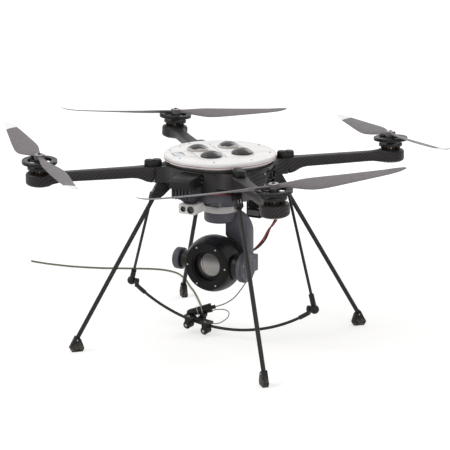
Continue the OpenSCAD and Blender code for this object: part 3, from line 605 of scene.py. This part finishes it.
def screen_glass():
    """Small display: dark surround and a pale lit field with faint bars."""
    f = Finish("screen", Coat_Weight=0.8, Coat_Roughness=0.05)
    x, y, _ = f.split(f.where())
    half = math.sqrt(0.5)
    radial = f.math("MULTIPLY", f.math("ADD", x, y), -half)
    across = f.math("MULTIPLY", f.math("SUBTRACT", x, y), half)
    near = f.math("ABSOLUTE", f.math("SUBTRACT", radial, SCREEN_R * MM))
    in_length = f.math("LESS_THAN", near, SCREEN_HALF[0] * MM)
    in_width = f.math("LESS_THAN", f.math("ABSOLUTE", across), SCREEN_HALF[1] * MM)
    bars = f.math("SINE", f.math("MULTIPLY", radial, 2 * math.pi / (BAR_PITCH * MM)))
    field = f.mix(f.ramp(bars, -1, 1), rgb("b4c3cc"), rgb("c3d0d7"))
    f.colour(f.mix(f.math("MULTIPLY", in_length, in_width), rgb("6d6f70"), field))
    f.rough(f.span(f.noise(scale=200, detail=3), low=0.12, high=0.22))
    return f


# Radii between which the lens turns dark, and heights over its middle between which a painted reflection
# darkens it
LENS_EDGE = (25.6, 27)
LENS_DARK_REFLECTION = (1, 19)


def lens_glass():
    """Polished grey infrared lens with a dark edge, darkened towards its top by a painted reflection. Other
    lenses are dark.
    """
    f = Finish("optic", Metallic=0.6, Coat_Weight=0.5, Coat_Roughness=0.03)
    x, _, z = f.split(f.where())
    rise = f.math("SUBTRACT", z, BALL_Z * MM)
    clear = f.mix(f.noise(scale=40, detail=3), rgb("928f8c"), rgb("807d7a"))
    low, high = LENS_DARK_REFLECTION
    # Painted reflection: the lens darkens towards its top
    centre = f.mix(f.ramp(rise, low * MM, high * MM), clear, rgb("3b3939"))
    inner, outer = LENS_EDGE
    edge = f.ramp(f.distance(x, rise), inner * MM, outer * MM)
    f.colour(f.mix(edge, centre, rgb("17161a")))
    f.rough(f.span(f.noise(scale=140, detail=3), low=0.04, high=0.1))
    return f


# Finishes of the record's material slots

CARBON = ("151313", "393636")
BLACK = ("0c0b0b", "131212")
SLATE = ("56555e", "4b4a53")
SHADED_SLATE = ("3a3a42", "303037")
DUST_TOP = 26
RUBBER = moulded(
    "rubber", "121111", "1c1a1a", rough=(0.6, 0.78), grain=700, depth=0.05, Specular_IOR_Level=0.3,
)
FINISHES = {
    "carbon": woven("carbon", *CARBON),
    "black_plastic": moulded("black_plastic", *BLACK, rough=(0.4, 0.56), Specular_IOR_Level=0.28),
    "white_shell": cover_skin(),
    "red_seal": moulded("red_seal", "a8453f", "8d3833", rough=(0.45, 0.6)),
    "screen": screen_glass(),
    "dome": dome_skin(),
    "slate_shell": moulded("slate_shell", *SLATE, rough=(0.42, 0.56), grain=1200),
    "pale_housing": moulded("pale_housing", "e6e3e1", "dad7d5", rough=(0.35, 0.5)),
    "circuit": moulded("circuit", "2f5a3c", "264b31", rough=(0.3, 0.45), grain=300),
    "cell_wrap": moulded("cell_wrap", "3c4650", "333c45", rough=(0.25, 0.4), grain=250),
    "optic": lens_glass(),
    "rubber": dusty(RUBBER, "8d877d", low_mm=0, high_mm=DUST_TOP),
    "steel": brushed("steel", "bab5ad", "97928a"),
    "prop_plastic": blade_plastic("prop_plastic"),
    "motor_black": rotor_skin(),
    "bezel": moulded("bezel", "100d11", "0c090d", rough=(0.3, 0.42), Specular_IOR_Level=0.16),
    "olive_cord": cord_sleeve(
        "olive_cord", "827d6a", "5f5b4c", pitch_mm=3.2, strands=6, rough=(0.6, 0.8), depth=0.12,
    ),
    "grey_cord": moulded("grey_cord", "716c6e", "625d60", rough=(0.4, 0.55), grain=1500),
    "red_wire": moulded("red_wire", "b9433d", "9d3631", rough=(0.35, 0.5), grain=1500),
}

# Finishes of single nodes and of trim

CHASSIS_BAND_TOP = 353.4
CHASSIS_WALL_R = 118.5
CHASSIS_SEAM_H = 1.5
MODULE_BAND_TOP = 371.8


def motor_at(name):
    """(x, y) of a motor's axis, in mm."""
    azimuth = math.radians(ARMS[name][0])
    return MOTOR_R * math.cos(azimuth), MOTOR_R * math.sin(azimuth)


NODE_FINISHES = {
    "chassis": banded(
        woven("carbon_hub", *CARBON), *SLATE, top_mm=CHASSIS_BAND_TOP, reach_mm=CHASSIS_WALL_R,
        seam_code="b0403a", seam_mm=CHASSIS_SEAM_H,
    ),
    "front_module": banded(
        moulded("front_module", *BLACK, rough=(0.4, 0.56), Specular_IOR_Level=0.28),
        *SHADED_SLATE, top_mm=MODULE_BAND_TOP,
    ),
    "prop_front_right": blade_plastic("prop_tipped_front_right", motor_at("front_right")),
    "prop_rear_left": blade_plastic("prop_tipped_rear_left", motor_at("rear_left")),
}
BLACK_WIRE = moulded("black_wire", "151313", "1f1b1b", rough=(0.35, 0.5), grain=1500)
COPPER = brushed("copper", "42342b", "2c231d", rough=(0.35, 0.55))
YELLOW = moulded("connector", "d9a514", "c08e0f", rough=(0.3, 0.45))
GREY = moulded("grey_cover", "8d8c90", "7c7b80", rough=(0.4, 0.55))
RED_PAINT = moulded("red_paint", "b03a34", "92302b", rough=(0.35, 0.5))
FROSTED = moulded("frosted_light", "efece8", "e0ddd8", rough=(0.35, 0.5), Subsurface_Weight=0.15)

# Rounded edges of the nodes, in millimetres
NODE_EDGE = 0.6
OTHER_EDGES = {"top_cover": 0.5, "legs": 0.4, "bow_rod": 0.4, "antenna_domes": 0.5, "feet": 2.2}
PLAIN_EDGES = ("prop_front_left", "prop_front_right", "prop_rear_left", "prop_rear_right", "lens")


def dress_nodes():
    """Gives each CAD node its finish and its rounded edges."""
    for part in frame["record"]["subparts"]:
        name = part["node"]
        obj = NODES[name]
        finish = NODE_FINISHES.get(name) or FINISHES[part["material_slot"]]
        obj.data.materials.clear()
        obj.data.materials.append(finish.material)
        if name not in PLAIN_EDGES:
            round_edges(obj, OTHER_EDGES.get(name, NODE_EDGE), weld=True)


dress_nodes()

# Cords: radii in millimetres

# Points on each stretch of a route, and the sides of the thicker tubes
CORD_STEPS = 12
WIRE_STEPS = 16
CORD_SIDES = 16

# Each split is the point at which a cord's short end meets the rest.
TETHER_R = 2.3
TETHER_SPLIT = 26

LEAD_R = 1.3
LEAD_SPLIT = 30

WIRE_R = 2.1
WIRE_GAP = 0.05
WIRE_LAY = 150

LOOP_R = 1.1


def make_tether():
    """The tether on the ground, and its rise to the clamp that follows the trolley."""
    path = smooth_route(TETHER_ROUTE, CORD_STEPS)
    rise = path[:TETHER_SPLIT + 1]
    lying = path[TETHER_SPLIT:]
    mat = FINISHES["olive_cord"].material
    lower = tube("tether_line_ground", lying, TETHER_R, mat, CORD_SIDES)
    upper = tube("tether_line_rise", rise, TETHER_R, mat, CORD_SIDES)
    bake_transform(upper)
    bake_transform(lower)
    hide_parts("tether_line")


def make_tether_lead():
    """The thin lead from the clamp up to the hub."""
    path = smooth_route(TETHER_LEAD_ROUTE, CORD_STEPS)
    low = path[:LEAD_SPLIT + 1]
    high = path[LEAD_SPLIT:]
    mat = FINISHES["grey_cord"].material
    lower = tube("tether_lead_low", low, LEAD_R, mat)
    upper = tube("tether_lead_high", high, LEAD_R, mat)
    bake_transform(lower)
    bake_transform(upper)
    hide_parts("tether_lead")


def make_power_lead():
    """Two wires twisted round each other behind the gimbal."""
    path = smooth_route(POWER_LEAD_ROUTE, WIRE_STEPS)
    frames = frames_along(path)
    wires = (("power_lead_red", FINISHES["red_wire"], 0), ("power_lead_black", BLACK_WIRE, math.pi))
    for name, finish, phase in wires:
        strand = []
        run = 0
        for i, (p, (side, up)) in enumerate(zip(path, frames)):
            run += (p - path[i - 1]).length if i else 0
            a = phase + run / (WIRE_LAY * MM) * 2 * math.pi
            strand.append(p + (WIRE_R + WIRE_GAP) * MM * (math.cos(a) * side + math.sin(a) * up))
        wire = tube(name, strand, WIRE_R, finish.material, CORD_SIDES)
        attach(wire, "hub")
        if not phase:
            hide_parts("power_lead")


def make_trolley_loop():
    """The short loop of lead on the trolley."""
    path = smooth_route(TROLLEY_LOOP_ROUTE, CORD_STEPS)
    loop = tube("trolley_loop_lead", path, LOOP_R, FINISHES["grey_cord"].material)
    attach(loop, "trolley")
    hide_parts("trolley_loop")


make_tether()
make_tether_lead()
make_power_lead()
make_trolley_loop()

# Trim: profiles are (radius, height), and all sizes are in millimetres

FINE_EDGE = 0.15
SMALL_EDGE = 0.2


def piece(name, bm, finish, body, edge=0.3):
    """Finished trim object that rides on a body, with small rounded edges."""
    made = from_bmesh(name, bm, finish.material)
    round_edges(made, edge)
    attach(made, body)


def slotted(name, bm, slot, body, edge=0.3):
    """Trim piece that has the finish of one of the record's material slots."""
    piece(name, bm, FINISHES[slot], body, edge)


def screw_head(bm, place, radius, height):
    """Button head with a round socket."""
    seat = 0.4 * height
    shoulder = (0.8 * radius, 0.85 * height)
    crown = (0.5 * radius, height)
    socket_r = 0.46 * radius
    profile = [(0, 0), (radius, 0), (radius, seat), shoulder, crown, (socket_r, seat), (0, seat)]
    lathe(bm, profile, place, sides=12)


def hex_bolt(bm, place, radius, height):
    """Washer, hexagon head and the end of the thread."""
    washer_r = 1.3 * radius
    washer_h = 0.25 * height
    lathe(bm, [(0, 0), (washer_r, 0), (washer_r, washer_h), (0, washer_h)], place, sides=24)
    prism(bm, regular(6, radius), 0.26 * height, height, place)
    thread_r = 0.5 * radius
    tip_z = 1.35 * height
    thread = [(0, height), (thread_r, height), (thread_r, 1.25 * height), (0.3 * radius, tip_z), (0, tip_z)]
    lathe(bm, thread, place, sides=16)


# Leg brackets and feet, as (out, up) in each arm's own plane and distances to its side
BRACKET_BOLTS = ((128, 345), (139, 348), (142, 336))
BRACKET_SIDE = 7.5
BRACKET_FACE = (148.7, 0, 346)
BRACKET_FACE_WAY = (0.86, 0, 0.51)
BAR_APART = 3
BAR_HALF_W = 0.9
BAR_HALF_L = 4.5
BAR_LEVELS = (-0.3, 0.5)
FOOT_PIN = (FOOT_R - 16, 26)
FOOT_PIN_SIDE = 6.2


def make_leg_trim():
    """Bolts through the sides of the leg brackets, two bright bars on each one, and pins through the feet."""
    bolts = bmesh.new()
    bars = bmesh.new()
    pins = bmesh.new()
    low, high = BAR_LEVELS
    pin_r, pin_z = FOOT_PIN
    for azimuth, _ in ARMS.values():
        turn = turned(azimuth)
        slope = turn @ facing(BRACKET_FACE, BRACKET_FACE_WAY)
        for side in (-1, 1):
            way = (0, side, 0)
            for r, z in BRACKET_BOLTS:
                spot = facing((r, side * BRACKET_SIDE, z), way)
                screw_head(bolts, turn @ spot, radius=2.3, height=1.5)
            mid = side * BAR_APART
            box(bars, (mid - BAR_HALF_W, -BAR_HALF_L, low), (mid + BAR_HALF_W, BAR_HALF_L, high), slope)
            spot = facing((pin_r, side * FOOT_PIN_SIDE, pin_z), way)
            screw_head(pins, turn @ spot, radius=1.9, height=1.2)
    slotted("bracket_bolts", bolts, "black_plastic", "hub", FINE_EDGE)
    slotted("foot_pins", pins, "steel", "hub", FINE_EDGE)
    slotted("bracket_bars", bars, "steel", "hub")


# Motors, with heights above the ground along each motor's axis
POD_CAP = [(0, 372.6), (14, 372.8), (20, 373.6), (24, 375), (25.5, 376.6), (24.3, 377.4), (0, 377.4)]
COILS = 12
COIL_TURNS = 5
COIL_FOOT = 402.7
COIL_PITCH = 1.15
COIL_WIRE = 1.05
COIL_RADII = (15.2, 20.4)
COIL_HALF_W = 2.4
COIL_SWELL = 0.5
RIM_TEETH = 40
TOOTH_LOW = (36.2, -1.6, 422.2)
TOOTH_HIGH = (37.3, 1.6, 426)
DISC_RIM = [(35.5, 426), (37.4, 426), (37.4, 428.3), (36.6, 429), (35.5, 429), (35.5, 426)]
PROP_RING = [
    (5, 439.6), (9.2, 439.6), (9.6, 440.2), (9.4, 441), (8.6, 441.4), (5.6, 441.4), (5, 440.8), (5, 439.6),
]
PROP_BOLT_Z = 440


def wind_coils(bm, place):
    """Coils round the stator, each a stack of turns that swells in the middle."""
    inner, outer = COIL_RADII
    middle = COIL_TURNS // 2
    for k in range(COILS):
        spot = place @ turned(360 / COILS * k)
        for turn in range(COIL_TURNS):
            z = COIL_FOOT + COIL_PITCH * turn
            grow = COIL_SWELL * (middle - abs(turn - middle))
            half = COIL_HALF_W + grow
            box(bm, (inner, -half, z), (outer + grow, half, z + COIL_WIRE), spot)


def make_motor_trim():
    """On each arm: pale cap under the pod and windings. On each rotor: ribbed rim, bright ring and bolt."""
    for name, (azimuth, hand) in ARMS.items():
        place = motor_place(azimuth, hand)
        arm = "arm_body_" + name
        rotor = "rotor_" + name

        cap = bmesh.new()
        lathe(cap, POD_CAP, place, sides=48)
        piece("pod_light_" + name, cap, FROSTED, arm)

        coils = bmesh.new()
        wind_coils(coils, place)
        piece("windings_" + name, coils, COPPER, arm)

        rim = bmesh.new()
        for k in range(RIM_TEETH):
            box(rim, TOOTH_LOW, TOOTH_HIGH, place @ turned(360 / RIM_TEETH * k))
        lathe(rim, DISC_RIM, place, sides=72)
        slotted("disc_rim_" + name, rim, "motor_black", rotor, SMALL_EDGE)

        ring = bmesh.new()
        lathe(ring, PROP_RING, place, sides=40)
        slotted("prop_ring_" + name, ring, "steel", rotor, SMALL_EDGE)

        bolt = bmesh.new()
        hex_bolt(bolt, place @ Matrix.Translation(point((0, 0, PROP_BOLT_Z))), radius=3.6, height=2.6)
        slotted("prop_bolt_" + name, bolt, "motor_black", rotor, SMALL_EDGE)


# Power module: fittings on its +X side, as (y, z), and on its -Y side, as (x, z)
PLUG = [(74, 267), (86, 267), (88, 269), (88, 275), (74, 275)]
PLUG_X = (59.5, 67)
PLUG_PINS = ((78, 271), (84, 271))
PLUG_PIN = [(0, 0), (2.4, 0), (2.4, 1.6), (1.5, 1.6), (1.5, 0.4), (0, 0.4)]
SIDE_PLATE = [
    (74, 290.2), (75.5, 288.8), (97, 288.8), (98.5, 290.2),
    (98.5, 298), (97, 299.5), (75.5, 299.5), (74, 298),
]
SIDE_PLATE_X = (59.5, 61.6)
SIDE_SCREWS = ((77, 291.4), (95.5, 291.4), (77, 296.9), (95.5, 296.9))
FRONT_PLATE = [(30, 268), (56, 268), (57, 269), (57, 279), (56, 280), (30, 280), (29, 279), (29, 269)]
FRONT_PLATE_Y = (71.6, 70.4)
FRONT_SCREWS = ((31, 285), (55, 285), (31, 297), (55, 297))
FRONT_SCREWS_Y = 72


def make_power_trim():
    """Fittings on the power module: yellow connector, grey covers and screws."""
    plug = bmesh.new()
    prism(plug, PLUG, *PLUG_X, AXIS_X)
    for y, z in PLUG_PINS:
        lathe(plug, PLUG_PIN, facing((PLUG_X[1], y, z), (1, 0, 0)), sides=16)
    piece("power_plug", plug, YELLOW, "hub")

    cover = bmesh.new()
    prism(cover, SIDE_PLATE, *SIDE_PLATE_X, AXIS_X)
    prism(cover, FRONT_PLATE, *FRONT_PLATE_Y, AXIS_Y)
    piece("power_cover", cover, GREY, "hub")

    bolts = bmesh.new()
    for y, z in SIDE_SCREWS:
        screw_head(bolts, facing((SIDE_PLATE_X[1], y, z), (1, 0, 0)), radius=1.5, height=1)
    for x, z in FRONT_SCREWS:
        screw_head(bolts, facing((x, FRONT_SCREWS_Y, z), (0, -1, 0)), radius=1.6, height=1.1)
    slotted("power_screws", bolts, "steel", "hub", FINE_EDGE)


# Hub: bay screws as (azimuth, height), the module's core as two corners, and marks as (x, y) on the lid
BAY_SCREWS = ((-6.5, 387), (-6.5, 363), (30.5, 387), (30.5, 363))
BAY_R = 116.9
CORE_LOW = (-19.3, -162.3, 351)
CORE_HIGH = (19.3, -121, 371.6)
LID_MARKS = ((-54.7, 53.5), (-101.7, 3.9))
LID_MARK = [(0, 0), (1.6, 0), (1.6, 0.5), (1.1, 0.9), (0, 0.9)]
LID_MARK_EDGE = 0.1


def make_hub_trim():
    """Screws at the side bay, slate core of the front module and red marks on the lid."""
    bolts = bmesh.new()
    for azimuth, z in BAY_SCREWS:
        a = math.radians(azimuth)
        way = (math.cos(a), math.sin(a), 0)
        screw_head(bolts, facing((BAY_R * way[0], BAY_R * way[1], z), way), radius=2.1, height=1.3)
    slotted("bay_screws", bolts, "steel", "hub", FINE_EDGE)

    core = bmesh.new()
    box(core, CORE_LOW, CORE_HIGH)
    slotted("module_core", core, "slate_shell", "hub")

    marks = bmesh.new()
    for x, y in LID_MARKS:
        lathe(marks, LID_MARK, facing((x, y, COVER_TOP), (0, 0, 1)), sides=16)
    piece("lid_marks", marks, RED_PAINT, "hub", edge=LID_MARK_EDGE)


# Camera: baffles with heights ahead of the ball's middle, and the tilt motor's outer face
BAFFLE_STEP = [(28, 22), (34.3, 22), (34.3, 24), (32, 24), (32, 23), (28, 23), (28, 22)]
BAFFLE_RING = [(32.8, 27), (34.4, 27), (34.4, 30), (32.8, 30), (32.8, 27)]
TILT_FACE_X = 86
TILT_PLATE = [(0, 0), (22, 0), (22, 0.6), (21.2, 1.2), (0, 1.2)]
TILT_SIDES = 8
TILT_SCREW_R = 26
TILT_SCREW_EDGE = 0.12


def make_camera_trim():
    """Baffle rings in the lens barrel and a screwed cover on the tilt motor."""
    front = facing((0, -BALL_AHEAD, BALL_Z), (0, -1, 0))
    rings = bmesh.new()
    for profile in (BAFFLE_STEP, BAFFLE_RING):
        lathe(rings, profile, front, sides=64)
    slotted("lens_baffle", rings, "bezel", "camera", SMALL_EDGE)

    face = facing((TILT_FACE_X, -BALL_AHEAD, BALL_Z), (1, 0, 0))
    plate = bmesh.new()
    lathe(plate, TILT_PLATE, face, TILT_SIDES)
    slotted("tilt_plate", plate, "slate_shell", "gimbal")

    bolts = bmesh.new()
    for k in range(TILT_SIDES):
        a = math.radians(360 / TILT_SIDES * (k + 0.5))
        at = (TILT_SCREW_R * math.cos(a), TILT_SCREW_R * math.sin(a), 0)
        screw_head(bolts, face @ Matrix.Translation(point(at)), radius=1.6, height=1.1)
    slotted("tilt_screws", bolts, "steel", "gimbal", TILT_SCREW_EDGE)


# Trolley: bolts in the frame of each roller block, and the line and bails of the clamp
TOP_BOLT = (0, -8, 8.4)
CHEEK_BOLT_SIDE = 12.4
CHEEK_BOLT_Z = -11.5
CLAMP_LINE = (Vector((-86, 13, 41)), Vector((-45, 40, 52)))
BAILS = ((-72, 22.2, 44.8), (-64, 27.5, 46.9))
BAIL_R = 11
BAIL_DROP = 9
BAIL_WIRE_R = 0.8
BAIL_ARC_STEPS = 12
BAIL_ROUTE_STEPS = 3


def make_trolley_trim():
    """Bolts over the rollers and two wire bails that hold the clamp down."""
    bolts = bmesh.new()
    for side in (-1, 1):
        spot = bow_place(TROLLEY_AT + side * BLOCK_ANGLE)
        hex_bolt(bolts, spot @ Matrix.Translation(point(TOP_BOLT)), radius=2.6, height=2.4)
        for end in (-1, 1):
            cheek = facing((0, end * CHEEK_BOLT_SIDE, CHEEK_BOLT_Z), (0, end, 0))
            hex_bolt(bolts, spot @ cheek, radius=2.4, height=2)
    slotted("trolley_bolts", bolts, "steel", "trolley", FINE_EDGE)

    way = (CLAMP_LINE[1] - CLAMP_LINE[0]).normalized()
    across = way.cross(Vector((0, 0, 1))).normalized()
    up = across.cross(way)
    angles = [math.pi * t / BAIL_ARC_STEPS for t in range(BAIL_ARC_STEPS + 1)]
    for k, at in enumerate(BAILS):
        centre = Vector(at)
        arch = [centre + BAIL_R * (math.cos(a) * across + math.sin(a) * up) for a in angles]
        first = centre + across * BAIL_R - up * BAIL_DROP
        last = centre - across * BAIL_R - up * BAIL_DROP
        route = smooth_route([first, *arch, last], BAIL_ROUTE_STEPS)
        bail = tube(f"clamp_bail_{k + 1}", route, BAIL_WIRE_R, FINISHES["steel"].material, sides=8)
        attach(bail, "trolley")


make_leg_trim()
make_motor_trim()
make_power_trim()
make_hub_trim()
make_camera_trim()
make_trolley_trim()

# Stage: all distances are in metres, and a glow of 1 is white

WHITE = (1, 1, 1, 1)
FLOOR_REACH = 14
FLOOR_GLOW = 0.56
# (start, end, extra glow) of the two stretches over which the floor brightens away from the object
GLOW_STRETCHES = ((0.7, 2.0, 0.14), (2.0, 5.5, 0.1))
SKY_LOW = 0.14
SKY_HIGH = 0.8
# (name, place, size, power in watts) of each lamp
LAMPS = (
    ("key", (-1.8, -1.6, 2.6), 1.8, 46),
    ("fill", (2.4, -1.8, 1.6), 2.0, 22),
    ("back", (0.4, 2.6, 2.2), 2.0, 24),
)
LAMP_TARGET = Vector((0, 0, 0.25))


def floor_finish():
    """Pale matt floor that keeps the shadow, and glows only where the background is seen."""
    f = Finish("floor", Roughness=0.9, Specular_IOR_Level=0.0)
    f.colour(f.mix(f.noise(scale=3, detail=2), rgb("c6c5c3"), rgb("c1c0be")))
    x, y, _ = f.split(f.where())
    out = f.distance(x, y)
    strength = FLOOR_GLOW
    for start, end, extra in GLOW_STRETCHES:
        lift = f.math("MULTIPLY", f.ramp(out, start, end), extra)
        strength = f.math("ADD", lift, strength)
    glow = f.node("Emission", Strength=strength)
    matt = f.shader.outputs[0]
    both = f.node("AddShader", i0=matt, i1=glow.outputs[0])
    choice = f.node("MixShader", i0=f.background_rays(), i1=matt, i2=both.outputs[0])
    f.put(f.tree.nodes["Material Output"].inputs["Surface"], choice.outputs[0])
    return f


def make_floor():
    """Wide flat floor under the object."""
    mesh = bpy.data.meshes.new("floor")
    r = FLOOR_REACH
    mesh.from_pydata([(-r, -r, 0), (r, -r, 0), (r, r, 0), (-r, r, 0)], [], [(0, 1, 2, 3)])
    new_object("floor", mesh, floor_finish().material)


def make_world():
    """Sky that brightens with height for the light on the object, and white where it is seen."""
    world = bpy.data.worlds.new("studio")
    bpy.context.scene.world = world
    world.use_nodes = True
    w = Nodes(world.node_tree)
    _, _, rise = w.split(w.node("TexCoord").outputs["Generated"])
    light = w.node("MapRange", Value=rise, To_Min=SKY_LOW, To_Max=SKY_HIGH)
    sky = w.node("Background", Color=WHITE, Strength=light.outputs[0])
    white = w.node("Background", Color=WHITE, Strength=1)
    pick = w.node("MixShader", i0=w.background_rays(), i1=sky.outputs[0], i2=white.outputs[0])
    w.put(w.tree.nodes["World Output"].inputs["Surface"], pick.outputs[0])


def make_lamps():
    """Three soft area lamps that face the object."""
    for name, at, size, power in LAMPS:
        data = bpy.data.lights.new(name, "AREA")
        data.size = size
        data.energy = power
        lamp = bpy.data.objects.new(name, data)
        lamp.location = at
        lamp.rotation_euler = (LAMP_TARGET - Vector(at)).to_track_quat("-Z", "Y").to_euler()
        bpy.context.scene.collection.objects.link(lamp)


bpy.context.scene.view_settings.view_transform = "Standard"
make_floor()
make_world()
make_lamps()
